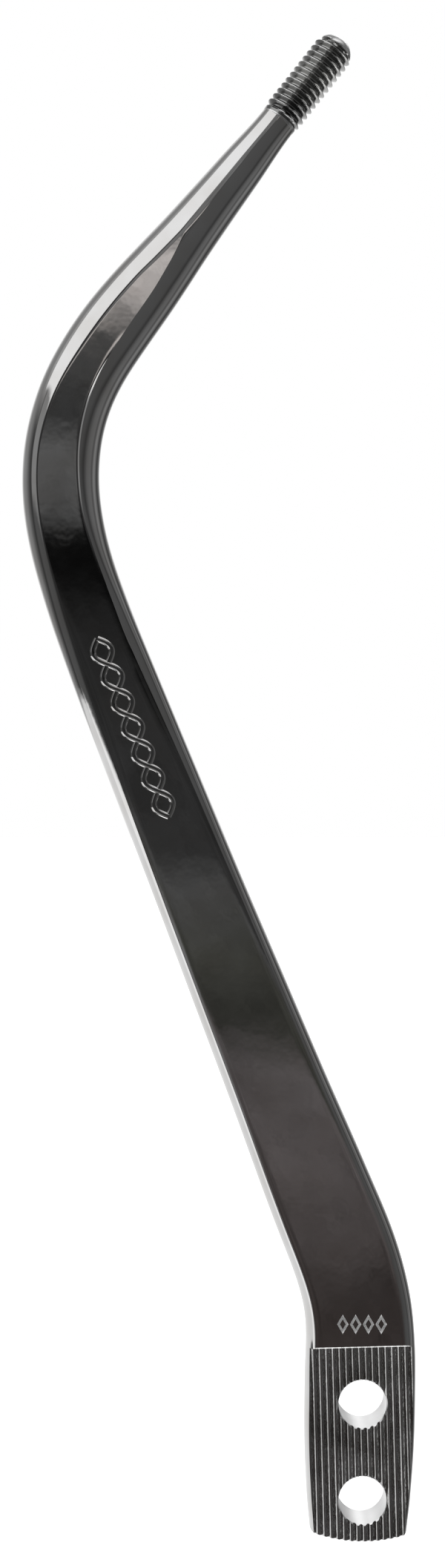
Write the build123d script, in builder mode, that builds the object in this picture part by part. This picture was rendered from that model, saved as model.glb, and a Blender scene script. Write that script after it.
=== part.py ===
"""Bolt-on gear shift lever: one chromed steel forging, from its serrated clamping pad to its knob thread.

Frame: millimetres, +Z up, -Y towards the marked front face, origin midway between the two bolt holes
on the serrated face. The lever's centreline lies in a plane of constant Y.
"""

from build123d import *

import os
from math import cos, pi, radians, sin

# ---- Clamping pad -----------------------------------------------------------------------------
BOLT_SPACING = 22.225  # 7/8 in between the two bolt holes
BOLT_HOLE_RADIUS = 5.55  # clears a 7/16 in bolt
PAD_THICKNESS = 9.5  # serrated face to milled back
PAD_TOP = 24.35  # height of the milled step above the origin
PAD_BOTTOM = -20.5
PAD_END_RADIUS = 33.0  # gentle curve of the bottom end
MILLING_LEAN = 1.5  # degrees that the grooves and the step are turned from square
GROOVE_PITCH = 1.52
GROOVE_COUNT = 16
GROOVE_WIDTH = 1.15
GROOVE_DEPTH = 0.5

# ---- Forged bar -------------------------------------------------------------------------------
STEP_DEPTH = 0.8  # the serrated face is milled this far below the blade's front face
BACK_STEP = 0.3  # and the back of the pad this far into the blade's back
FRONT_Y = -STEP_DEPTH  # the whole front face is one plane
BAR_THICKNESS = 12.6  # where the bar is fullest, through the bend
BLADE_THICKNESS = PAD_THICKNESS + STEP_DEPTH + BACK_STEP
AXIS_Y = FRONT_Y + BAR_THICKNESS / 2  # the round shank's axis
NARROWEST_FLAT = 0.3  # the flats never quite vanish on the round shank
SHOULDER = (-19.3, 308.7)  # X and Z where the shank meets the thread

# Sections along the bar, from the thread's shoulder down: arc length, lean from the vertical in
# degrees (positive towards +X going down), width, thickness, how far each rounded side reaches in,
# and how square that side is (2 is an ellipse).
STATIONS = [
    (0.0, -38.4, 8.6, 8.6, 4.3, 2.0),
    (14.0, -38.4, 10.6, 10.6, 5.3, 2.0),
    (27.0, -38.4, 12.4, 12.4, 6.2, 2.0),
    (38.0, -38.4, 14.1, 12.6, 6.3, 2.0),
    (50.0, -38.4, 16.3, 12.6, 6.3, 2.0),
    (60.0, -36.5, 17.3, 12.6, 6.3, 2.0),
    (72.0, -29.5, 17.4, 12.6, 5.9, 2.0),
    (84.0, -16.5, 17.6, 12.6, 4.8, 2.0),
    (96.0, -3.5, 17.9, 12.6, 4.2, 2.0),
    (108.0, 8.0, 18.1, 12.5, 4.2, 2.0),
    (120.0, 16.0, 18.2, 12.4, 4.2, 2.1),
    (134.0, 20.1, 18.7, 12.2, 4.2, 2.5),
    (152.0, 21.5, 19.4, 11.9, 4.0, 3.0),
    (172.0, 21.8, 20.0, 11.6, 3.0, 2.8),
    (200.0, 21.8, 20.8, 11.2, 2.1, 2.2),
    (225.0, 21.8, 21.9, 10.9, 2.0, 2.0),
    (250.0, 21.8, 23.0, 10.7, 2.0, 2.0),
    (274.0, 21.8, 24.5, BLADE_THICKNESS, 2.0, 2.0),
    (288.0, 21.3, 25.0, BLADE_THICKNESS, 2.0, 2.0),
    (300.0, 13.2, 24.9, BLADE_THICKNESS, 2.0, 2.0),
    (310.0, 3.0, 25.2, BLADE_THICKNESS, 2.0, 2.0),
    (318.0, -0.8, 25.7, BLADE_THICKNESS, 2.0, 2.0),
    (328.0, -0.8, 25.8, BLADE_THICKNESS, 2.0, 2.0),
    (338.0, -0.8, 25.4, BLADE_THICKNESS, 2.0, 2.0),
    (348.0, -0.8, 24.2, BLADE_THICKNESS, 2.0, 2.0),
    (362.0, -0.8, 21.9, BLADE_THICKNESS, 2.0, 2.0),
]

# ---- Knob thread, 3/8-16 UNC ------------------------------------------------------------------
THREAD_RADIUS = 4.7625
THREAD_ROOT = 3.9
THREAD_PITCH = 1.5875
THREAD_LENGTH = 22.4  # shoulder to the rim under the dome
THREAD_BAND = 0.9  # plain band at each end of the thread
THREAD_RUNOUT = 0.5  # taper from each band down to the root
RIDGE_ROOT = 3.6  # the ridge starts inside the core
RIDGE_BASE = 1.5
RIDGE_CREST = 4.7525
CREST_WIDTH = 0.24
RIDGE_INSET = 0.15  # how much shorter the ridge is than the room between the bands
SEAM_TURN = 77  # keeps the core's seam clear of the ridge's ends
DOME_HEIGHT = 1.9
SHANK_LEAN = STATIONS[0][1]

# ---- Raised motif and stamped marks -----------------------------------------------------------
MOTIF_CENTRE = (-52.9, 167.1)  # X and Z on the front face
MOTIF_LEAN = 21.8
MOTIF_LENGTH = 44.0
MOTIF_SWING = 2.2  # how far each wave swings to either side
MOTIF_WAVES = 3.5
MOTIF_LINE = 1.5
MOTIF_HEIGHT = 0.4
MARK_CENTRE = (-0.2, 29.8)
MARK_PITCH = 2.95
MARK_COUNT = 4
MARK_WIDTH, MARK_HEIGHT = 2.7, 4.6
MARK_LINE = 0.7
MARK_DEPTH = 0.3

OVERRUN = 20.0  # how far cutting tools run past the metal


def smooth(column, s):
    """The station value in this column at arc length s, on a smooth curve through all of them."""
    xs = [row[0] for row in STATIONS]
    ys = [row[column] for row in STATIONS]
    i = max(k for k in range(len(xs) - 1) if xs[k] <= s)
    step = xs[i + 1] - xs[i]
    t = (s - xs[i]) / step

    def slope(k):
        if k == 0 or k == len(xs) - 1:
            return 0.0
        before = (ys[k] - ys[k - 1]) / (xs[k] - xs[k - 1])
        after = (ys[k + 1] - ys[k]) / (xs[k + 1] - xs[k])
        if before * after <= 0:
            return 0.0
        near, far = xs[k] - xs[k - 1], xs[k + 1] - xs[k]
        return (before * far + after * near) / (near + far)

    return (
        ys[i] * (1 + 2 * t) * (1 - t) ** 2
        + slope(i) * step * t * (1 - t) ** 2
        + ys[i + 1] * t * t * (3 - 2 * t)
        - slope(i + 1) * step * t * t * (1 - t)
    )


def centreline(stride=0.5):
    """X and Z of the centreline at each station, by walking down it from the shoulder."""
    x, z = SHOULDER
    places = {STATIONS[0][0]: (x, z)}
    for k in range(int(STATIONS[-1][0] / stride)):
        lean = radians(smooth(1, (k + 0.5) * stride))
        x += sin(lean) * stride
        z -= cos(lean) * stride
        places[(k + 1) * stride] = (x, z)
    return places


def section_plane(x, z, lean):
    """The plane across the bar there: its X to the bar's right, its Y to the back, facing up."""
    a = radians(lean)
    return Plane(origin=(x, 0, z), x_dir=(cos(a), 0, sin(a)), z_dir=(-sin(a), 0, cos(a)))


def side_points(flat, reach, half, middle, squareness, hand):
    """Points round one rounded side, front to back, on a superellipse of this squareness."""
    points = []
    for turn in [k * pi / 12 for k in range(1, 12)]:
        across = abs(sin(turn)) ** (2 / squareness)
        deep = abs(cos(turn)) ** (2 / squareness)
        y = middle - half * deep if turn < pi / 2 else middle + half * deep
        points.append((hand * (flat + reach * across), y))
    return points


def wave_points(phase):
    """Points along one sine wave of the raised motif, a quarter wave apart, from its top down."""
    count = int(4 * MOTIF_WAVES) + 1
    return [
        (MOTIF_SWING * sin(pi / 2 * k + phase), MOTIF_LENGTH * (0.5 - k / (count - 1)))
        for k in range(count)
    ]


def helix_at(radius, rise):
    """One helical edge of the thread's ridge, in the thread's own frame."""
    height = THREAD_LENGTH - 2 * THREAD_BAND - RIDGE_INSET
    return Edge.make_helix(THREAD_PITCH, height, radius, center=(0, 0, THREAD_BAND + RIDGE_INSET / 2 + rise))


place = centreline()
thread_tilt = radians(SHANK_LEAN)
thread_frame = Plane(
    origin=(SHOULDER[0], AXIS_Y, SHOULDER[1]),
    x_dir=(cos(thread_tilt), 0, sin(thread_tilt)),
    z_dir=(-sin(thread_tilt), 0, cos(thread_tilt)),
)

# ---- The bar: a loft down its centreline, from the thread's shoulder to below the pad ---------
with BuildPart() as bar:
    for s, lean, width, thickness, side, squareness in STATIONS:
        flat = max(width / 2 - side, NARROWEST_FLAT / 2)
        half = thickness / 2
        middle = AXIS_Y if thickness == width else FRONT_Y + half
        front, back = middle - half, middle + half
        x, z = place[s]
        with BuildSketch(section_plane(x, z, lean)):
            with BuildLine():
                Line((-flat, front), (flat, front))
                Spline(
                    (flat, front),
                    *side_points(flat, width / 2 - flat, half, middle, squareness, 1),
                    (flat, back),
                    tangents=[(1, 0), (-1, 0)],
                )
                Line((flat, back), (-flat, back))
                Spline(
                    (-flat, back),
                    *reversed(side_points(flat, width / 2 - flat, half, middle, squareness, -1)),
                    (-flat, front),
                    tangents=[(-1, 0), (1, 0)],
                )
            make_face()
    loft()

# ---- The thread: a turned core with a plain band at each end and a dome, and a helical ridge ---
with BuildPart() as core:
    with BuildSketch(Plane.XZ.rotated((0, 0, SEAM_TURN))):
        with BuildLine():
            Polyline(
                (0, -THREAD_ROOT),
                (THREAD_ROOT, -THREAD_ROOT),
                (THREAD_ROOT, 0),
                (THREAD_RADIUS, 0),
                (THREAD_RADIUS, THREAD_BAND),
                (THREAD_ROOT, THREAD_BAND + THREAD_RUNOUT),
                (THREAD_ROOT, THREAD_LENGTH - THREAD_BAND - THREAD_RUNOUT),
                (THREAD_RADIUS, THREAD_LENGTH - THREAD_BAND),
                (THREAD_RADIUS, THREAD_LENGTH),
            )
            RadiusArc(
                (THREAD_RADIUS, THREAD_LENGTH),
                (0, THREAD_LENGTH + DOME_HEIGHT),
                -(THREAD_RADIUS**2 + DOME_HEIGHT**2) / (2 * DOME_HEIGHT),
            )
            Line((0, THREAD_LENGTH + DOME_HEIGHT), (0, -THREAD_ROOT))
        make_face()
    revolve(axis=Axis.Z)

edges = [
    helix_at(RIDGE_ROOT, -RIDGE_BASE / 2),
    helix_at(RIDGE_CREST, -CREST_WIDTH / 2),
    helix_at(RIDGE_CREST, CREST_WIDTH / 2),
    helix_at(RIDGE_ROOT, RIDGE_BASE / 2),
]
flanks = [Face.make_surface_from_curves(edges[i], edges[(i + 1) % 4]) for i in range(4)]
ends = [Face(Wire.make_polygon([edge @ end for edge in edges], close=True)) for end in (0, 1)]
ridge = Solid(Shell(flanks + ends))

with BuildPart() as thread:
    add(thread_frame.location * (core.part + ridge))

# ---- The whole lever --------------------------------------------------------------------------
with BuildPart() as lever:
    add(bar.part)

    # The serrated face is milled below the blade's front, and the back of the pad is milled flat.
    with BuildSketch(section_plane(0, PAD_BOTTOM - OVERRUN, MILLING_LEAN)):
        with Locations((0, -OVERRUN / 2), (0, PAD_THICKNESS + OVERRUN / 2)):
            Rectangle(4 * OVERRUN, OVERRUN)
    extrude(amount=PAD_TOP - PAD_BOTTOM + OVERRUN, mode=Mode.SUBTRACT)

    # The bottom end is a shallow curve.
    with BuildSketch(Plane.XZ.offset(-OVERRUN)):
        with BuildLine():
            Polyline(
                (OVERRUN, PAD_BOTTOM + OVERRUN**2 / (2 * PAD_END_RADIUS)),
                (OVERRUN, PAD_BOTTOM - OVERRUN),
                (-OVERRUN, PAD_BOTTOM - OVERRUN),
                (-OVERRUN, PAD_BOTTOM + OVERRUN**2 / (2 * PAD_END_RADIUS)),
            )
            ThreePointArc(
                (-OVERRUN, PAD_BOTTOM + OVERRUN**2 / (2 * PAD_END_RADIUS)),
                (0, PAD_BOTTOM),
                (OVERRUN, PAD_BOTTOM + OVERRUN**2 / (2 * PAD_END_RADIUS)),
            )
        make_face()
    extrude(amount=2 * OVERRUN, mode=Mode.SUBTRACT)

    # Serrations: V-grooves up the pad, ending at the step.
    with BuildSketch(section_plane(0, PAD_BOTTOM - OVERRUN, MILLING_LEAN)):
        with GridLocations(GROOVE_PITCH, 1, GROOVE_COUNT, 1):
            Polygon((-GROOVE_WIDTH / 2, 0), (0, GROOVE_DEPTH), (GROOVE_WIDTH / 2, 0), align=None)
    extrude(amount=PAD_TOP - PAD_BOTTOM + OVERRUN, mode=Mode.SUBTRACT)

    # Two bolt holes, one above the other.
    with Locations(Plane.XZ):
        with GridLocations(1, BOLT_SPACING, 1, 2):
            Hole(BOLT_HOLE_RADIUS)

    # A raised motif of two crossing waves down the blade.
    motif_tilt = radians(MOTIF_LEAN)
    motif_plane = Plane(
        origin=(MOTIF_CENTRE[0], FRONT_Y, MOTIF_CENTRE[1]),
        x_dir=(cos(motif_tilt), 0, sin(motif_tilt)),
        z_dir=(0, -1, 0),
    )
    with BuildSketch(motif_plane.offset(-MOTIF_HEIGHT)):
        for phase in (0, pi):
            with BuildLine():
                Spline(*wave_points(phase))
            trace(line_width=MOTIF_LINE)
    extrude(amount=2 * MOTIF_HEIGHT)

    # Four small stamped lozenges above the pad.
    mark_plane = Plane(origin=(MARK_CENTRE[0], FRONT_Y, MARK_CENTRE[1]), x_dir=(1, 0, 0), z_dir=(0, -1, 0))
    with BuildSketch(mark_plane):
        with GridLocations(MARK_PITCH, 1, MARK_COUNT, 1):
            for inset, mode in ((0, Mode.ADD), (MARK_LINE, Mode.SUBTRACT)):
                half_width = MARK_WIDTH / 2 - inset
                half_height = half_width * MARK_HEIGHT / MARK_WIDTH
                Polygon(
                    (half_width, 0),
                    (0, half_height),
                    (-half_width, 0),
                    (0, -half_height),
                    mode=mode,
                )
    extrude(amount=-MARK_DEPTH, mode=Mode.SUBTRACT)

    add(thread.part)

os.makedirs("parts", exist_ok=True)
lever.part.label = "shift_lever"
export_step(lever.part, "parts/shift_lever.step")
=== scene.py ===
"""Looks of the gear shift lever: one chromed forging, shown upright on a pale studio floor.

Everything is in metres in the row frame: +Z up, -Y out of the marked front face, origin midway between
the two bolt holes on the serrated face. Shape sizes are written in millimetres and scaled by MM.
"""

from math import acos, atan2, cos, pi, radians, sin, tau

import bmesh
import bpy
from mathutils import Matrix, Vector


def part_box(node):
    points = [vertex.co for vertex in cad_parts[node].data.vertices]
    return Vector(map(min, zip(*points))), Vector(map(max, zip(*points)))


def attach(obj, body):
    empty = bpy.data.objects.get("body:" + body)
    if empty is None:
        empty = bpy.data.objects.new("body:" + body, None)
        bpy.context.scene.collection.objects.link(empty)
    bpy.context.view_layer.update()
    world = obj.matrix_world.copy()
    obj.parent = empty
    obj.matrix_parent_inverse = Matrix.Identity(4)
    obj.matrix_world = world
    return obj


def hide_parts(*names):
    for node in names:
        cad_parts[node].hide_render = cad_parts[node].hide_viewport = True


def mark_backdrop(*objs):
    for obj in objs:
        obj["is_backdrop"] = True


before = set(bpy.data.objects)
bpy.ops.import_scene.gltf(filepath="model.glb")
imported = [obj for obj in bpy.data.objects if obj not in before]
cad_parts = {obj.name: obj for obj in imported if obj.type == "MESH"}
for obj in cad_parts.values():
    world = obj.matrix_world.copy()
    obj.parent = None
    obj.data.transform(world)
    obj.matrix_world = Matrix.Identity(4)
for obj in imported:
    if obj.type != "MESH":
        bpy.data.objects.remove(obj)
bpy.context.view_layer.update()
NODE = "shift_lever"
LOW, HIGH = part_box(NODE)
MM = 0.001

# ---- Sizes, in millimetres, as the CAD model has them -----------------------------------------
BOLT_SPACING = 22.225
BOLT_HOLE_RADIUS = 5.55
PAD_THICKNESS = 9.5
PAD_TOP = 24.35
PAD_BOTTOM = LOW.z / MM
PAD_END_RADIUS = 33.0
MILLING_LEAN = radians(1.5)
GROOVE_PITCH = 1.52
GROOVE_COUNT = 16
GROOVE_DEPTH = 0.5
STEP_DEPTH = 0.8
BACK_STEP = 0.3
STEP_EASE = 0.3  # 45-degree ease on the step's upper edge
CREST_ROUNDING = 0.22  # radius on each serration's crest
HOLE_CHAMFER = 0.25
CUTTER_REACH = 30.0  # how far cutters run past the pad
FRONT_Y = -STEP_DEPTH
BAR_THICKNESS = 12.6
BLADE_THICKNESS = PAD_THICKNESS + STEP_DEPTH + BACK_STEP
AXIS_Y = FRONT_Y + BAR_THICKNESS / 2
SHOULDER = (-19.3, 308.7)
ROUND_END = 35.0  # arc length where the round shank has fully become the flatted bar

# Arc length from the thread's shoulder, lean in degrees, width, thickness, how far each side's curve
# reaches in from the edge (left, right), how far the right one bulges past the flat, squareness.
STATIONS = [
    (0.0, -38.4, 8.6, 8.6, 4.3, 4.3, 0.0, 2.0),
    (14.0, -38.4, 10.5, 10.5, 5.25, 5.25, 0.0, 2.0),
    (27.0, -38.4, 12.2, 12.2, 6.1, 6.1, 0.0, 2.0),
    (35.0, -38.4, 13.4, 12.6, 6.7, 6.7, 0.0, 2.0),
    (43.5, -38.4, 15.0, 12.6, 6.6, 7.5, 0.19, 2.0),
    (50.0, -38.4, 16.1, 12.6, 6.3, 8.05, 0.38, 2.0),
    (60.0, -36.5, 17.1, 12.6, 6.3, 8.55, 0.50, 2.0),
    (72.0, -29.5, 17.3, 12.6, 5.9, 8.65, 0.62, 2.0),
    (84.0, -16.5, 17.5, 12.6, 4.8, 8.5, 0.76, 2.0),
    (96.0, -3.5, 17.9, 12.6, 4.2, 8.0, 0.80, 2.0),
    (108.0, 8.0, 18.1, 12.5, 4.2, 6.6, 0.55, 2.0),
    (120.0, 16.0, 18.2, 12.4, 4.2, 5.0, 0.25, 2.1),
    (134.0, 20.1, 18.7, 12.2, 4.2, 4.2, 0.05, 2.5),
    (152.0, 21.5, 19.4, 11.9, 4.0, 4.0, 0.0, 3.0),
    (172.0, 21.8, 20.0, 11.6, 3.0, 3.0, 0.0, 2.8),
    (200.0, 21.8, 20.8, 11.2, 2.1, 2.1, 0.0, 2.2),
    (225.0, 21.8, 21.9, 10.9, 2.0, 2.0, 0.0, 2.0),
    (250.0, 21.8, 23.0, 10.7, 2.0, 2.0, 0.0, 2.0),
    (274.0, 21.8, 24.5, BLADE_THICKNESS, 2.0, 2.0, 0.0, 2.0),
    (288.0, 21.3, 25.0, BLADE_THICKNESS, 2.0, 2.0, 0.0, 2.0),
    (300.0, 13.2, 24.9, BLADE_THICKNESS, 2.0, 2.0, 0.0, 2.0),
    (310.0, 3.0, 25.2, BLADE_THICKNESS, 2.0, 2.0, 0.0, 2.0),
    (318.0, -0.8, 25.7, BLADE_THICKNESS, 2.0, 2.0, 0.0, 2.0),
    (328.0, -0.8, 25.8, BLADE_THICKNESS, 2.0, 2.0, 0.0, 2.0),
    (338.0, -0.8, 25.4, BLADE_THICKNESS, 2.0, 2.0, 0.0, 2.0),
    (348.0, -0.8, 24.2, BLADE_THICKNESS, 2.0, 2.0, 0.0, 2.0),
    (362.0, -0.8, 21.9, BLADE_THICKNESS, 2.0, 2.0, 0.0, 2.0),
]
LIP_REACH = 0.9  # a faint raised rim inside the crease round the bend
LIP_HEIGHT = 0.115
LIP_SPAN = (60.0, 80.0, 102.0, 128.0)  # arc lengths where it starts, is full, starts to fade, ends
ROLL_REACH = 1.3  # polishing has rolled the blade's front edges off by this much
ROLL_DROP = 0.045
ROLL_SPAN = (110.0, 160.0, 400.0, 401.0)
CUT_FROM = 276.0  # below this arc length the bar is milled, drilled and stamped

THREAD_RADIUS = 4.7625
THREAD_ROOT = 3.9
THREAD_PITCH = 1.5875
THREAD_LENGTH = 21.7
DOME_HEIGHT = 2.6
DOME_RADIUS = 4.15
SHOULDER_RING = 4.35  # radius of the plain ring where the thread runs out
NECK_DEPTH = 0.45  # the neck under the dome's rim
PLUG = [(SHOULDER_RING, 0.0), (THREAD_ROOT, -1.0), (THREAD_ROOT, -3.0)]  # radius and rise inside the bar
PAINTED_SHADE_SLOT, PAINTED_HIGHLIGHT_SLOT, DOME_SLOT = range(3)  # the thread's material slots: darker flanks as painted shade in the grooves, brighter crests and ring as painted highlight, and the dome
# One pitch of the thread: how far up it, and how deep in the groove.
THREAD_PROFILE = [
    (0.0, 0), (0.06, 0), (0.19, 0.33), (0.33, 0.67), (0.46, 1), (0.60, 1), (0.73, 0.67), (0.87, 0.33),
]

MOTIF_CENTRE = (-52.9, 167.1)
MOTIF_LEAN = radians(21.8)
MOTIF_LENGTH = 44.0
MOTIF_SWING = 2.2
MOTIF_WAVES = 3.5
MOTIF_LINE = 1.5
MOTIF_HEIGHT = 0.4
# The ribbon's cross-section, as shares of half its width and of its height.
MOTIF_EDGE = [
    (-1, 0), (-0.88, 0.38), (-0.74, 0.74), (-0.6, 0.94), (-0.44, 1),
    (0.44, 1), (0.6, 0.94), (0.74, 0.74), (0.88, 0.38), (1, 0),
]
MOTIF_ROOT = 0.03  # how far the ribbon is sunk into the face
MOTIF_WEAVE = 0.08  # share of the height by which it rises and falls at the crossings
MARK_CENTRE = (-0.2, 29.8)
MARK_PITCH = 2.95
MARK_COUNT = 4
MARK_WIDTH, MARK_HEIGHT = 2.7, 4.6
MARK_LINE = 0.7
# The stroke's cross-section, as shares of its width and depths below the face.
MARK_STROKE = [
    (0.0, -0.04), (0.14, 0.08), (0.3, 0.21), (0.45, 0.3),
    (0.55, 0.3), (0.7, 0.21), (0.86, 0.08), (1.0, -0.04),
]

# ---- Camera: straight at the front face, level with the middle of the lever, in metres --------
CAMERA_DISTANCE = 0.460
VIEW_HEIGHT = 0.3615  # how much the picture shows from top to bottom at the serrated face
CAMERA_SHIFT = (0.0009, -0.0002)  # from the lever's middle, right and up
SENSOR = 36.0


def smooth(column, s):
    """The station value in this column at arc length s, on a smooth curve through all of them."""
    xs = [row[0] for row in STATIONS]
    ys = [row[column] for row in STATIONS]
    i = max(k for k in range(len(xs) - 1) if xs[k] <= s or k == 0)
    step = xs[i + 1] - xs[i]
    t = (s - xs[i]) / step

    def slope(k):
        if k == 0 or k == len(xs) - 1:
            return 0.0
        before = (ys[k] - ys[k - 1]) / (xs[k] - xs[k - 1])
        after = (ys[k + 1] - ys[k]) / (xs[k + 1] - xs[k])
        if before * after <= 0:
            return 0.0
        near, far = xs[k] - xs[k - 1], xs[k + 1] - xs[k]
        return (before * far + after * near) / (near + far)

    return (
        ys[i] * (1 + 2 * t) * (1 - t) ** 2
        + slope(i) * step * t * (1 - t) ** 2
        + ys[i + 1] * t * t * (3 - 2 * t)
        - slope(i + 1) * step * t * t * (1 - t)
    )


def centreline(stride):
    """Rows of arc length, X, Z and lean down the bar's centreline, a stride apart."""
    x, z = SHOULDER
    rows = [(0.0, x, z, radians(STATIONS[0][1]))]
    for k in range(round(STATIONS[-1][0] / stride)):
        lean = radians(smooth(1, (k + 0.5) * stride))
        x += sin(lean) * stride
        z -= cos(lean) * stride
        rows.append(((k + 1) * stride, x, z, radians(smooth(1, (k + 1) * stride))))
    return rows


def share_of(span, s):
    """How much of a feature the section at arc length s carries, from 0 to 1."""
    start, full, fading, end = span
    share = min(1.0, max(0.0, min((s - start) / (full - start), (end - s) / (end - fading))))
    return share * share * (3 - 2 * share)


def side_curve(half_width, half, reach, bulge, power, steps):
    """One side, from the front flat's end round to the back's: (across, y from the middle) points."""
    centre, deep = max(half_width - reach, 0.0), half + bulge
    reach = half_width - centre
    start = acos(min(1.0, (half / deep) ** (power / 2)))
    points = []
    for k in range(steps + 1):
        turn = start + (pi - 2 * start) * k / steps
        y = deep * abs(cos(turn)) ** (2 / power)
        points.append((centre + reach * abs(sin(turn)) ** (2 / power), -y if turn < pi / 2 else y))
    return points


def section(s, side_steps, flat_steps):
    """The bar's outline at arc length s, as (across, y) points, from the front flat's left end."""
    width, thickness, left, right, bulge, power = (smooth(column, s) for column in range(2, 8))
    half = thickness / 2
    middle = AXIS_Y if s <= ROUND_END else FRONT_Y + half
    right_side = side_curve(width / 2, half, right, bulge, power, side_steps)
    left_side = side_curve(width / 2, half, left, 0.0, power, side_steps)
    lip = share_of(LIP_SPAN, s) * LIP_HEIGHT
    roll = share_of(ROLL_SPAN, s) * ROLL_DROP
    start, end = -left_side[0][0], right_side[0][0]
    front = []
    for k in range(1, flat_steps):
        across = start + (end - start) * (1 - cos(pi * k / flat_steps)) / 2
        raised = lip * max(0.0, 1 - (end - across) / LIP_REACH) ** 2.5
        rolled = max(0.0, 1 - (end - across) / ROLL_REACH) ** 2
        rolled += max(0.0, 1 - (across - start) / ROLL_REACH) ** 2
        front.append((across, -half - raised + roll * rolled))
    right_edge = []
    for k, (u, y) in enumerate(right_side):
        raised = lip * max(0.0, 1 - k * 5 / side_steps) ** 2
        right_edge.append((u, y - raised + roll * max(0.0, -y / half)))
    left_edge = [(-u, y + roll * max(0.0, -y / half)) for u, y in reversed(left_side)]
    back_start, back_end = right_side[-1][0], -left_side[-1][0]
    back = [(back_start + (back_end - back_start) * k / flat_steps, half) for k in range(1, flat_steps)]
    return [(u, middle + y) for u, y in front + right_edge + back + left_edge]


def eased(value, low, high):
    """0 below low, 1 above high, eased between."""
    t = min(1.0, max(0.0, (value - low) / (high - low)))
    return t * t * (3 - 2 * t)


def mesh_object(name, points, faces, smooth_faces=True):
    """A new mesh object from points in millimetres."""
    mesh = bpy.data.meshes.new(name)
    mesh.from_pydata([tuple(c * MM for c in p) for p in points], [], faces)
    mesh.polygons.foreach_set("use_smooth", [smooth_faces] * len(mesh.polygons))
    mesh.update()
    made = bpy.data.objects.new(name, mesh)
    bpy.context.scene.collection.objects.link(made)
    return made


def tube(rings, closed_ends=True):
    """Points and quads of a tube through equal rings of points, with its ends filled."""
    n = len(rings[0])
    points = [p for ring in rings for p in ring]
    faces = [
        (r * n + k, r * n + (k + 1) % n, (r + 1) * n + (k + 1) % n, (r + 1) * n + k)
        for r in range(len(rings) - 1)
        for k in range(n)
    ]
    if closed_ends:
        faces.append(tuple(reversed(range(n))))
        faces.append(tuple((len(rings) - 1) * n + k for k in range(n)))
    return points, faces


def bar_rings(start, end, stride=0.75, side_steps=48, flat_steps=26):
    """Outlines down the bar between two arc lengths, a stride apart."""
    rings = []
    for s, x, z, lean in centreline(stride / 3):
        if start <= s + 1e-6 and s <= end + 1e-6 and abs(s / stride - round(s / stride)) < 1e-6:
            outline = section(s, side_steps, flat_steps)
            rings.append([(x + u * cos(lean), y, z + u * sin(lean)) for u, y in outline])
    return rings


def prism(name, outline, plane, start, end):
    """A closed prism: outline points (a, b) placed by plane(a, b, c), run from c = start to c = end."""
    rings = [[plane(a, b, c) for a, b in outline] for c in (start, end)]
    return mesh_object(name, *tube(rings), smooth_faces=False)


def recalculated(obj):
    """Points every face of a closed mesh outwards."""
    bm = bmesh.new()
    bm.from_mesh(obj.data)
    bmesh.ops.recalc_face_normals(bm, faces=bm.faces)
    bm.to_mesh(obj.data)
    bm.free()
    return obj


def cut(target, tool, surface_kind):
    """Cuts the tool out of the target, leaves the cut faces with that material, and deletes the tool; the
    drilled and stamped materials carry a painted highlight.
    """
    tool.data.materials.append(surface_kind)
    recalculated(tool)
    modifier = target.modifiers.new("cut", "BOOLEAN")
    modifier.operation = "DIFFERENCE"
    modifier.solver = "EXACT"
    modifier.material_mode = "TRANSFER"
    modifier.object = tool
    bpy.context.view_layer.update()
    graph = bpy.context.evaluated_depsgraph_get()
    result = bpy.data.meshes.new_from_object(target.evaluated_get(graph))
    target.modifiers.clear()
    target.data = result
    bpy.data.objects.remove(tool)


def milled(a, b, c):
    """A point on the leaning milling axes: a across, b into the metal, c up."""
    return (
        a * cos(MILLING_LEAN) - c * sin(MILLING_LEAN),
        b,
        a * sin(MILLING_LEAN) + c * cos(MILLING_LEAN),
    )


def serration_outline():
    """The milling cutter's outline over the pad: V-grooves at 90 degrees with worn, rounded crests."""
    crest = CREST_ROUNDING
    inset = crest * 0.414  # from the crest's corner to where its rounding begins
    points = [(-CUTTER_REACH, -10.0), (-CUTTER_REACH, 0.0)]
    start = -GROOVE_COUNT / 2 * GROOVE_PITCH
    half_groove = GROOVE_DEPTH * 1.05
    for k in range(GROOVE_COUNT):
        middle = start + (k + 0.5) * GROOVE_PITCH
        left, right = middle - half_groove, middle + half_groove
        for j in range(4):
            a = radians(45) * j / 3
            points.append((left - inset + crest * sin(a), crest * (1 - cos(a))))
        points.append((middle - 0.05, GROOVE_DEPTH))
        points.append((middle + 0.05, GROOVE_DEPTH))
        for j in range(4):
            a = radians(45) * (3 - j) / 3
            points.append((right + inset - crest * sin(a), crest * (1 - cos(a))))
    return points + [(CUTTER_REACH, 0.0), (CUTTER_REACH, -10.0)]


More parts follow.
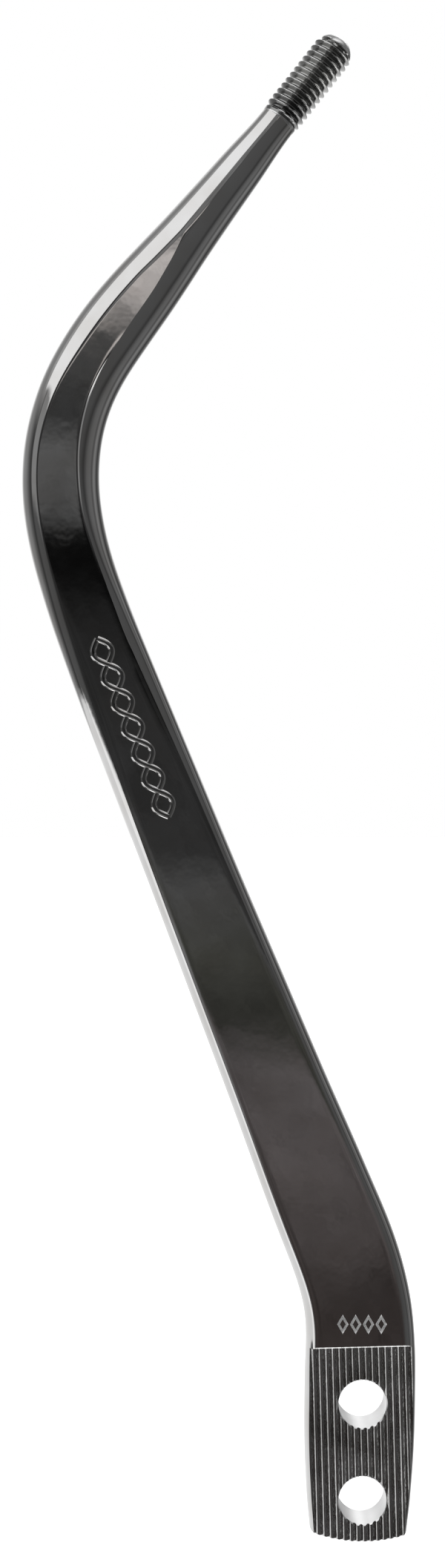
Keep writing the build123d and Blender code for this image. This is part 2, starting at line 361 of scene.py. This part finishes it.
def make_bar():
    """The forged bar with its milled pad, holes and stamped marks, as one closed mesh."""
    upper = mesh_object("upper", *tube(bar_rings(0.0, CUT_FROM), closed_ends=False))
    lower = recalculated(mesh_object("lower", *tube(bar_rings(CUT_FROM, STATIONS[-1][0]))))
    lower.data.materials.append(POLISHED)

    cut(lower, prism("pad_cut", serration_outline(), milled, -60.0, PAD_TOP), MILLED)

    edge = [
        (-1.5, FRONT_Y - 1.0),
        (STEP_EASE, FRONT_Y - 1.0),
        (STEP_EASE, FRONT_Y),
        (0.0, FRONT_Y + STEP_EASE),
        (-1.5, FRONT_Y + STEP_EASE),
    ]
    along_step = prism(
        "edge_cut", edge, lambda a, b, c: milled(c, b, PAD_TOP + a), -CUTTER_REACH, CUTTER_REACH
    )
    cut(lower, along_step, POLISHED)

    back = [
        (-CUTTER_REACH, PAD_THICKNESS),
        (-CUTTER_REACH, 20.0),
        (CUTTER_REACH, 20.0),
        (CUTTER_REACH, PAD_THICKNESS),
    ]
    cut(lower, prism("back_cut", back, milled, -60.0, PAD_TOP), MILLED)

    curve = [(-25.0, -60.0)]
    for k in range(41):
        x = -25.0 + 50.0 * k / 40
        curve.append((x, PAD_BOTTOM + x * x / (2 * PAD_END_RADIUS)))  # the pad's convex end
    curve.append((25.0, -60.0))
    cut(lower, prism("end_cut", curve, lambda a, b, c: (a, c, b), -20.0, 20.0), POLISHED)

    # The hole walls and, below, the stamped strokes take brighter chrome: a painted highlight.
    for side in (-0.5, 0.5):
        cut(lower, hole_cutter(side * BOLT_SPACING), DRILLED_PAINTED_HIGHLIGHT)
    for k in range(MARK_COUNT):
        x = MARK_CENTRE[0] + (k - (MARK_COUNT - 1) / 2) * MARK_PITCH
        cut(lower, mark_cutter(x), STAMPED_PAINTED_HIGHLIGHT)

    return joined("lever_bar", upper, lower)


def hole_cutter(z, steps=96):
    """A bolt hole's drill, flared where it meets the serrated face and the back."""
    past = 2.0  # how far the cutter stands past the faces
    profile = [
        (BOLT_HOLE_RADIUS + HOLE_CHAMFER + past, -past),
        (BOLT_HOLE_RADIUS, HOLE_CHAMFER),
        (BOLT_HOLE_RADIUS, PAD_THICKNESS - HOLE_CHAMFER),
        (BOLT_HOLE_RADIUS + HOLE_CHAMFER + past, PAD_THICKNESS + past),
    ]
    rings = [
        [(r * cos(tau * k / steps), y, z + r * sin(tau * k / steps)) for k in range(steps)]
        for r, y in profile
    ]
    return mesh_object("drill", *tube(rings), smooth_faces=True)


def mark_cutter(x):
    """A lozenge outline with a rounded stroke, for one stamped mark."""
    z = MARK_CENTRE[1]
    slant = MARK_HEIGHT / MARK_WIDTH
    loops = []
    for share, depth in MARK_STROKE:
        half, y = MARK_WIDTH / 2 - MARK_LINE * share, FRONT_Y + depth
        tall = half * slant
        loops.append([(x + half, y, z), (x, y, z + tall), (x - half, y, z), (x, y, z - tall)])
    points = [p for loop in loops for p in loop]
    n = len(loops)
    faces = [
        (r * 4 + k, r * 4 + (k + 1) % 4, (r + 1) % n * 4 + (k + 1) % 4, (r + 1) % n * 4 + k)
        for r in range(n)
        for k in range(4)
    ]
    return mesh_object("stamp", points, faces, smooth_faces=False)


def joined(name, upper, lower):
    """Welds the milled lower piece onto the loft above it."""
    bm = bmesh.new()
    bm.from_mesh(upper.data)
    bm.from_mesh(lower.data)
    _, x, z, lean = min(centreline(0.25), key=lambda row: abs(row[0] - CUT_FROM))
    origin = Vector((x, 0, z)) * MM
    normal = Vector((-sin(lean), 0, cos(lean)))
    inner = [
        f for f in bm.faces
        if len(f.verts) > 20 and all(abs((v.co - origin).dot(normal)) < 1e-6 for v in f.verts)
    ]
    bmesh.ops.delete(bm, geom=inner, context="FACES")
    bmesh.ops.remove_doubles(bm, verts=bm.verts, dist=1e-6)
    open_edges = [e for e in bm.edges if e.is_boundary]
    bmesh.ops.holes_fill(bm, edges=open_edges)
    bmesh.ops.recalc_face_normals(bm, faces=bm.faces)
    mesh = bpy.data.meshes.new(name)
    bm.to_mesh(mesh)
    bm.free()
    for surface_kind in lower.data.materials:
        mesh.materials.append(surface_kind)
    for part in (upper, lower):
        bpy.data.objects.remove(part)
    made = bpy.data.objects.new(name, mesh)
    bpy.context.scene.collection.objects.link(made)
    mesh.polygons.foreach_set("use_smooth", [True] * len(mesh.polygons))
    mesh.set_sharp_from_angle(angle=radians(14))
    return made


def on_thread(radius, turn, rise):
    """A point of the thread: radius and turn about its axis, rise above the shoulder."""
    lean = radians(STATIONS[0][1])
    u, v = radius * cos(turn), radius * sin(turn)
    return (
        SHOULDER[0] + u * cos(lean) - rise * sin(lean),
        AXIS_Y + v,
        SHOULDER[1] + u * sin(lean) + rise * cos(lean),
    )


def thread_radius(rise, groove):
    """The thread's radius at a rise above the shoulder, groove from 0 at a crest to 1 at a root.

    The groove runs out into the ring below and the rim above, and a neck is turned in under the rim.
    """
    top = THREAD_LENGTH
    depth = THREAD_RADIUS - THREAD_ROOT
    cut_share = eased(rise, 0.6, 1.4) * (1 - eased(rise, top - 1.0, top - 0.4))
    outer = SHOULDER_RING + (THREAD_RADIUS - SHOULDER_RING) * eased(rise, 0.5, 2.2)
    outer -= (THREAD_RADIUS - DOME_RADIUS) * eased(rise, top - 0.9, top - 0.3)
    outer -= NECK_DEPTH * eased(rise, top - 1.2, top - 0.7) * (1 - eased(rise, top - 0.5, top - 0.1))
    return outer - depth * groove * cut_share


def make_thread(steps=120):
    """The knob thread: V-form, running out into the shoulder's ring, with a neck, a rim and a dome."""
    rows = [
        (turn + phase, groove)
        for turn in range(-1, round(THREAD_LENGTH / THREAD_PITCH) + 1)
        for phase, groove in THREAD_PROFILE
    ]
    points, faces, face_slots = [], [], []
    for place, groove in rows:
        for k in range(steps + 1):
            rise = min(THREAD_LENGTH, max(0.0, (place + k / steps) * THREAD_PITCH))
            points.append(on_thread(thread_radius(rise, groove), tau * k / steps, rise))
    for r in range(len(rows) - 1):
        ring = rows[r][0] < -0.6
        crest = rows[r][1] == 0 and rows[r + 1][1] == 0
        for k in range(steps):
            a, b = r * (steps + 1) + k, (r + 1) * (steps + 1) + k
            faces.append((a, a + 1, b + 1, b))
            # Crests and the plain ring take the bright chrome as a painted highlight, the flanks the dark
            # chrome as painted shade in the grooves.
            face_slots.append(PAINTED_HIGHLIGHT_SLOT if crest or ring else PAINTED_SHADE_SLOT)
    start = len(points)
    sphere = (DOME_RADIUS**2 + DOME_HEIGHT**2) / (2 * DOME_HEIGHT)
    rings = []
    for k in range(16):
        radius = DOME_RADIUS * (1 - k / 16) ** 0.8
        rise = THREAD_LENGTH + DOME_HEIGHT - sphere + (sphere**2 - radius**2) ** 0.5
        rings.append([on_thread(radius, tau * j / steps, rise) for j in range(steps)])
    plug = [[on_thread(r, tau * j / steps, h) for j in range(steps)] for r, h in PLUG]
    for part, surface_kind in ((rings, DOME_SLOT), (plug, PAINTED_HIGHLIGHT_SLOT)):
        more, quads = tube(part, closed_ends=False)
        faces += [tuple(i + start for i in q) for q in quads]
        faces.append(tuple(start + (len(part) - 1) * steps + j for j in range(steps)))
        face_slots += [surface_kind] * (len(quads) + 1)
        points += more
        start = len(points)
    made = mesh_object("knob_thread", points, faces)
    for material in (SHADED_FLANK_CHROME, PAINTED_HIGHLIGHT_CHROME, DOME_CHROME):
        made.data.materials.append(material)
    made.data.polygons.foreach_set("material_index", face_slots)
    bm = bmesh.new()
    bm.from_mesh(made.data)
    bmesh.ops.remove_doubles(bm, verts=bm.verts, dist=1e-7)
    bmesh.ops.recalc_face_normals(bm, faces=bm.faces)
    bm.to_mesh(made.data)
    bm.free()
    made.data.set_sharp_from_angle(angle=radians(32))
    return made


def make_motif(steps=260):
    """Two raised waves down the blade, woven over and under, each flat-topped with rounded edges."""
    points, faces = [], []
    for phase in (0, pi):
        rings = []
        for k in range(steps + 1):
            t = k / steps
            swing = tau * MOTIF_WAVES * t + phase
            height = MOTIF_HEIGHT * (1 - MOTIF_WEAVE + MOTIF_WEAVE * cos(swing))
            across, along = MOTIF_SWING * sin(swing), MOTIF_LENGTH * (0.5 - t)
            slope = atan2(MOTIF_SWING * cos(swing) * tau * MOTIF_WAVES, -MOTIF_LENGTH)
            ring = []
            for u, h in MOTIF_EDGE:
                a = across - u * MOTIF_LINE / 2 * cos(slope)
                b = along + u * MOTIF_LINE / 2 * sin(slope)
                ring.append(
                    (
                        MOTIF_CENTRE[0] + a * cos(MOTIF_LEAN) - b * sin(MOTIF_LEAN),
                        FRONT_Y + MOTIF_ROOT - (height + MOTIF_ROOT) * h,
                        MOTIF_CENTRE[1] + a * sin(MOTIF_LEAN) + b * cos(MOTIF_LEAN),
                    )
                )
            rings.append(ring)
        more, quads = tube(rings)
        faces += [tuple(i + len(points) for i in q) for q in quads]
        points += more
    made = recalculated(mesh_object("raised_motif", points, faces))
    made.data.materials.append(POLISHED)
    made.data.set_sharp_from_angle(angle=radians(50))
    return made


# ---- Materials --------------------------------------------------------------------------------
def nodes_of(material):
    """A material's node tree and its shader."""
    tree = material.node_tree
    return tree, tree.nodes["Principled BSDF"]


def noise(tree, scale, detail=3.0, rough=0.5):
    """A noise texture in object space, scale in features per metre."""
    coords = tree.nodes.new("ShaderNodeTexCoord")
    node = tree.nodes.new("ShaderNodeTexNoise")
    node.inputs["Scale"].default_value = scale
    node.inputs["Detail"].default_value = detail
    node.inputs["Roughness"].default_value = rough
    tree.links.new(coords.outputs["Object"], node.inputs["Vector"])
    return node


def ramp(tree, source, stops):
    """A colour ramp fed by a value; stops are (position, grey or colour)."""
    node = tree.nodes.new("ShaderNodeValToRGB")
    elements = node.color_ramp.elements
    while len(elements) < len(stops):
        elements.new(0.5)
    for element, (place, value) in zip(elements, stops):
        element.position = place
        element.color = (*value, 1) if isinstance(value, tuple) else (value, value, value, 1)
    tree.links.new(source, node.inputs["Fac"])
    return node


def chrome(name, colours, roughness, bump_scale, bump_height):
    """Chrome plate: colour, roughness and a faint waviness vary over the surface."""
    material = bpy.data.materials.new(name)
    material.use_nodes = True
    tree, shader = nodes_of(material)
    shader.inputs["Metallic"].default_value = 1.0
    tone = ramp(tree, noise(tree, 90.0).outputs["Fac"], [(0.35, colours[0]), (0.65, colours[1])])
    tree.links.new(tone.outputs["Color"], shader.inputs["Base Color"])
    gloss = ramp(tree, noise(tree, 160.0, 4.0).outputs["Fac"], [(0.3, roughness[0]), (0.7, roughness[1])])
    tree.links.new(gloss.outputs["Color"], shader.inputs["Roughness"])
    bump = tree.nodes.new("ShaderNodeBump")
    bump.inputs["Strength"].default_value = 1.0
    bump.inputs["Distance"].default_value = bump_height * MM
    tree.links.new(noise(tree, bump_scale, 2.0).outputs["Fac"], bump.inputs["Height"])
    tree.links.new(bump.outputs["Normal"], shader.inputs["Normal"])
    return material


POLISHED = chrome("chrome_polished", ((0.60, 0.59, 0.58), (0.66, 0.66, 0.66)), (0.02, 0.055), 250.0, 0.008)
MILLED = chrome("chrome_milled", ((0.42, 0.42, 0.41), (0.62, 0.62, 0.62)), (0.10, 0.2), 1400.0, 0.035)
# The drilled chrome is brighter than the plate: a painted highlight on the hole walls. Its higher roughness
# is the drilled metal's own.
DRILLED_PAINTED_HIGHLIGHT = chrome("chrome_drilled_painted_highlight", ((0.85, 0.85, 0.85), (0.95, 0.95, 0.95)), (0.3, 0.4), 900.0, 0.02)
# The stamped chrome is brighter still: a painted highlight on the stamped strokes. Its high roughness is the
# struck metal's own.
STAMPED_PAINTED_HIGHLIGHT = chrome("chrome_stamped_painted_highlight", ((0.9, 0.9, 0.9), (1.0, 1.0, 1.0)), (0.5, 0.65), 900.0, 0.02)
# The thread's flank chrome is darker than the rest of the plate: painted shade in the thread's grooves.
SHADED_FLANK_CHROME = chrome("chrome_thread_painted_shade", ((0.22, 0.22, 0.22), (0.42, 0.42, 0.41)), (0.12, 0.24), 1500.0, 0.02)
DOME_CHROME = chrome("chrome_dome", ((0.75, 0.75, 0.75), (0.9, 0.9, 0.9)), (0.22, 0.32), 1200.0, 0.02)
# This bright chrome on the thread's crests and ring (and the plug inside the bar) is a painted highlight;
# its values match the dome's brushed chrome.
PAINTED_HIGHLIGHT_CHROME = chrome("chrome_crest_painted_highlight", ((0.75, 0.75, 0.75), (0.9, 0.9, 0.9)), (0.22, 0.32), 1200.0, 0.02)

# ---- Pieces -----------------------------------------------------------------------------------
for piece in (make_bar(), make_thread(), make_motif()):
    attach(piece, "root")
    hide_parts(NODE)

# ---- Floor, light and camera ------------------------------------------------------------------
CENTRE = (LOW + HIGH) / 2


def make_floor():
    """A pale floor at the lever's foot, which the chrome doesn't reflect."""
    size = 6.0
    points = [(-size, -size), (size, -size), (size, size), (-size, size)]
    made = mesh_object("floor", [(x / MM, y / MM, LOW.z / MM) for x, y in points], [(0, 1, 2, 3)])
    material = bpy.data.materials.new("floor")
    material.use_nodes = True
    _, shader = nodes_of(material)
    shader.inputs["Base Color"].default_value = (0.9, 0.9, 0.9, 1)
    shader.inputs["Roughness"].default_value = 1.0
    shader.inputs["Emission Color"].default_value = (1, 1, 1, 1)
    shader.inputs["Emission Strength"].default_value = 0.85
    made.data.materials.append(material)
    made.visible_glossy = False
    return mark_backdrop(made)


def direction(bearing, rise):
    """The way to a place in the studio: bearing right of the camera, rise above the horizon."""
    a, e = radians(bearing), radians(rise)
    return Vector((sin(a) * cos(e), -cos(a) * cos(e), sin(e)))


def calc(tree, operation, a, b=None):
    """A math node's output, from numbers or other nodes' outputs."""
    node = tree.nodes.new("ShaderNodeMath")
    node.operation = operation
    for socket, value in zip(node.inputs, (a, b)):
        if isinstance(value, (int, float)):
            socket.default_value = value
        elif value is not None:
            tree.links.new(value, socket)
    return node.outputs[0]


def stepped(tree, value, low, high):
    """0 below low, 1 above high, eased between."""
    node = tree.nodes.new("ShaderNodeMapRange")
    node.interpolation_type = "SMOOTHSTEP"
    node.inputs["From Min"].default_value = low
    node.inputs["From Max"].default_value = high
    tree.links.new(value, node.inputs["Value"])
    return node.outputs[0]


def panel(tree, way, below, corners, grey, soft):
    """Lays a softbox over the studio: convex corners as (bearing, rise), clockwise as seen from inside."""
    mask = None
    for here, there in zip(corners, corners[1:] + corners[:1]):
        inward = direction(*there).cross(direction(*here)).normalized()
        dot = tree.nodes.new("ShaderNodeVectorMath")
        dot.operation = "DOT_PRODUCT"
        dot.inputs[1].default_value = inward
        tree.links.new(way, dot.inputs[0])
        edge = stepped(tree, dot.outputs["Value"], -radians(soft), radians(soft))
        mask = edge if mask is None else calc(tree, "MULTIPLY", mask, edge)
    return over(tree, below, grey, mask)


def over(tree, below, above, mask):
    """One colour laid over another through a mask."""
    mix = tree.nodes.new("ShaderNodeMix")
    mix.data_type = "RGBA"
    tree.links.new(mask, mix.inputs["Factor"])
    tree.links.new(below, mix.inputs["A"])
    if isinstance(above, float):
        mix.inputs["B"].default_value = (above, above, above, 1)
    else:
        tree.links.new(above, mix.inputs["B"])
    return mix.outputs["Result"]


# Soft panels and dark flags over the walls: corners as (bearing, rise), brightness, softness in degrees.
PANELS = [
    ([(-180, -89), (-180, -50), (-60, -50), (-60, -89)], 2.6, 4.0),  # white floor, in three parts
    ([(-60, -89), (-60, -50), (60, -50), (60, -89)], 2.6, 4.0),
    ([(60, -89), (60, -50), (180, -50), (180, -89)], 2.6, 4.0),
    ([(104, 27), (104, 75), (194, 75), (194, 27)], 0.12, 3.0),  # dim ceiling behind
    ([(136, 30), (136, 58), (176, 54), (176, 30)], 1.7, 6.0),  # lamp below it
    ([(8, 42), (8, 78), (100, 78), (105, 42)], 1.1, 3.0),  # overhead, to the right
    ([(-64, 4), (-64, 30), (-22, 30), (-22, 4)], 0.3, 2.5),  # spill under the key light
    ([(-106, 30), (-106, 72), (-70, 72), (-70, 25)], 0.45, 8.0),  # the key's soft far end
    ([(-86, 31), (-86, 70), (-10, 78), (2, 40), (-21, 16)], 1.15, 1.2),  # key light
    ([(-9, -28), (-9, -5), (-5, -5), (-5, -28)], 0.2, 1.2),  # narrow strip
    ([(-168, -3.2), (-90, -15.5), (-50, -12), (-50, -32), (-160, -32)], 0.95, 1.0),  # side sweep
    ([(-62, -13.5), (-14, -4), (-14, -30), (-62, -32)], 1.2, 1.0),  # its bright near end
]
# Brightness of the room's walls by bearing in degrees: backdrop, left wall, camera, right wall, backdrop.
WALLS = [
    (-180, 1.1), (-160, 0.9), (-136, 0.33), (-114, 0.28), (-94, 0.14), (-76, 0.05), (-60, 0.11),
    (-26, 0.10), (-14, 0.03), (0, 0.05), (14, 0.10), (55, 0.09), (65, 0.05), (78, 0.15), (90, 0.17),
    (98, 0.10), (110, 0.28), (130, 0.05), (150, 0.22), (165, 0.85), (180, 1.1),
]
# Brightness of the dark wall behind the camera, with its few pale things, by rise in degrees.
CAMERA_WALL = [
    (-22, (0.045, 0.036, 0.035)), (-15, (0.05, 0.042, 0.04)), (-10, (0.11, 0.098, 0.098)),
    (-8, (0.11, 0.10, 0.10)), (-7, (0.045, 0.045, 0.04)), (-5, (0.062, 0.062, 0.055)), (-3, 0.09),
    (-2, 0.04), (4, 0.03), (6, 0.004), (7, 0.006), (8, 0.11), (9.7, 0.12), (10.5, 0.04),
    (12.8, 0.08), (13.7, (0.58, 0.54, 0.52)), (14.9, (0.68, 0.64, 0.62)), (15.6, 0.16), (20, 0.22),
    (25, 0.2),
]


def cloudy(tree, way, turn, scales, detail):
    """Noise over the studio's walls, from -0.5 to 0.5, stretched along one slanting direction."""
    mapping = tree.nodes.new("ShaderNodeMapping")
    mapping.vector_type = "TEXTURE"
    mapping.inputs["Rotation"].default_value = (0, turn, 0)
    mapping.inputs["Scale"].default_value = scales
    tree.links.new(way, mapping.inputs["Vector"])
    node = tree.nodes.new("ShaderNodeTexNoise")
    node.inputs["Scale"].default_value = 1.0
    node.inputs["Detail"].default_value = detail
    node.inputs["Roughness"].default_value = 0.6
    tree.links.new(mapping.outputs["Vector"], node.inputs["Vector"])
    return calc(tree, "SUBTRACT", node.outputs["Fac"], 0.5)


def make_world():
    """A pale backdrop for the camera, and the studio of soft panels that the chrome reflects."""
    world = bpy.data.worlds.new("studio")
    bpy.context.scene.world = world
    world.use_nodes = True
    tree = world.node_tree
    tree.nodes.clear()
    way = tree.nodes.new("ShaderNodeTexCoord").outputs["Generated"]
    xyz = tree.nodes.new("ShaderNodeSeparateXYZ")
    tree.links.new(way, xyz.inputs[0])
    bearing = calc(tree, "ARCTAN2", xyz.outputs["X"], calc(tree, "MULTIPLY", xyz.outputs["Y"], -1.0))
    rise = calc(tree, "ARCSINE", xyz.outputs["Z"])
    blotches = cloudy(tree, way, 0.0, (0.05, 0.05, 0.05), 4.0)
    streaks = cloudy(tree, way, radians(-38), (0.003, 0.003, 0.04), 3.0)
    drifting = calc(tree, "ADD", rise, calc(tree, "MULTIPLY", blotches, radians(2.0)))

    around = calc(tree, "ADD", calc(tree, "DIVIDE", bearing, tau), 0.5)
    light = ramp(tree, around, [((b + 180) / 360, grey) for b, grey in WALLS]).outputs["Color"]
    up = calc(tree, "ADD", calc(tree, "DIVIDE", drifting, radians(50)), 0.5)
    wall = ramp(tree, up, [((r + 25) / 50, grey) for r, grey in CAMERA_WALL]).outputs["Color"]
    shade = calc(tree, "ADD", 1.0, calc(tree, "MULTIPLY", calc(tree, "ADD", blotches, streaks), 1.3))
    uneven = tree.nodes.new("ShaderNodeVectorMath")
    uneven.operation = "SCALE"
    tree.links.new(wall, uneven.inputs[0])
    tree.links.new(shade, uneven.inputs["Scale"])
    near_camera = calc(
        tree,
        "MULTIPLY",
        stepped(tree, bearing, radians(-12), radians(-8)),
        calc(tree, "SUBTRACT", 1.0, stepped(tree, bearing, radians(7), radians(11))),
    )
    light = over(tree, light, uneven.outputs[0], near_camera)
    for corners, grey, soft in PANELS:
        light = panel(tree, way, light, corners, grey, soft)

    studio = tree.nodes.new("ShaderNodeBackground")
    tree.links.new(light, studio.inputs["Color"])
    backdrop = tree.nodes.new("ShaderNodeBackground")
    backdrop.inputs["Color"].default_value = (1, 1, 1, 1)
    mix = tree.nodes.new("ShaderNodeMixShader")
    tree.links.new(tree.nodes.new("ShaderNodeLightPath").outputs["Is Camera Ray"], mix.inputs[0])
    tree.links.new(studio.outputs[0], mix.inputs[1])
    tree.links.new(backdrop.outputs[0], mix.inputs[2])
    tree.links.new(mix.outputs[0], tree.nodes.new("ShaderNodeOutputWorld").inputs[0])


make_floor()
make_world()

camera_data = bpy.data.cameras.new("camera")
camera = bpy.data.objects.new("camera", camera_data)
bpy.context.scene.collection.objects.link(camera)
camera.location = (CENTRE.x + CAMERA_SHIFT[0], -CAMERA_DISTANCE, CENTRE.z + CAMERA_SHIFT[1])
camera.rotation_euler = (radians(90), 0, 0)
camera_data.sensor_width = SENSOR
camera_data.lens = SENSOR * CAMERA_DISTANCE / VIEW_HEIGHT
camera_data.clip_start = 0.01
camera_data.clip_end = 20.0
bpy.context.scene.camera = camera
bpy.context.scene.view_settings.view_transform = "Standard"
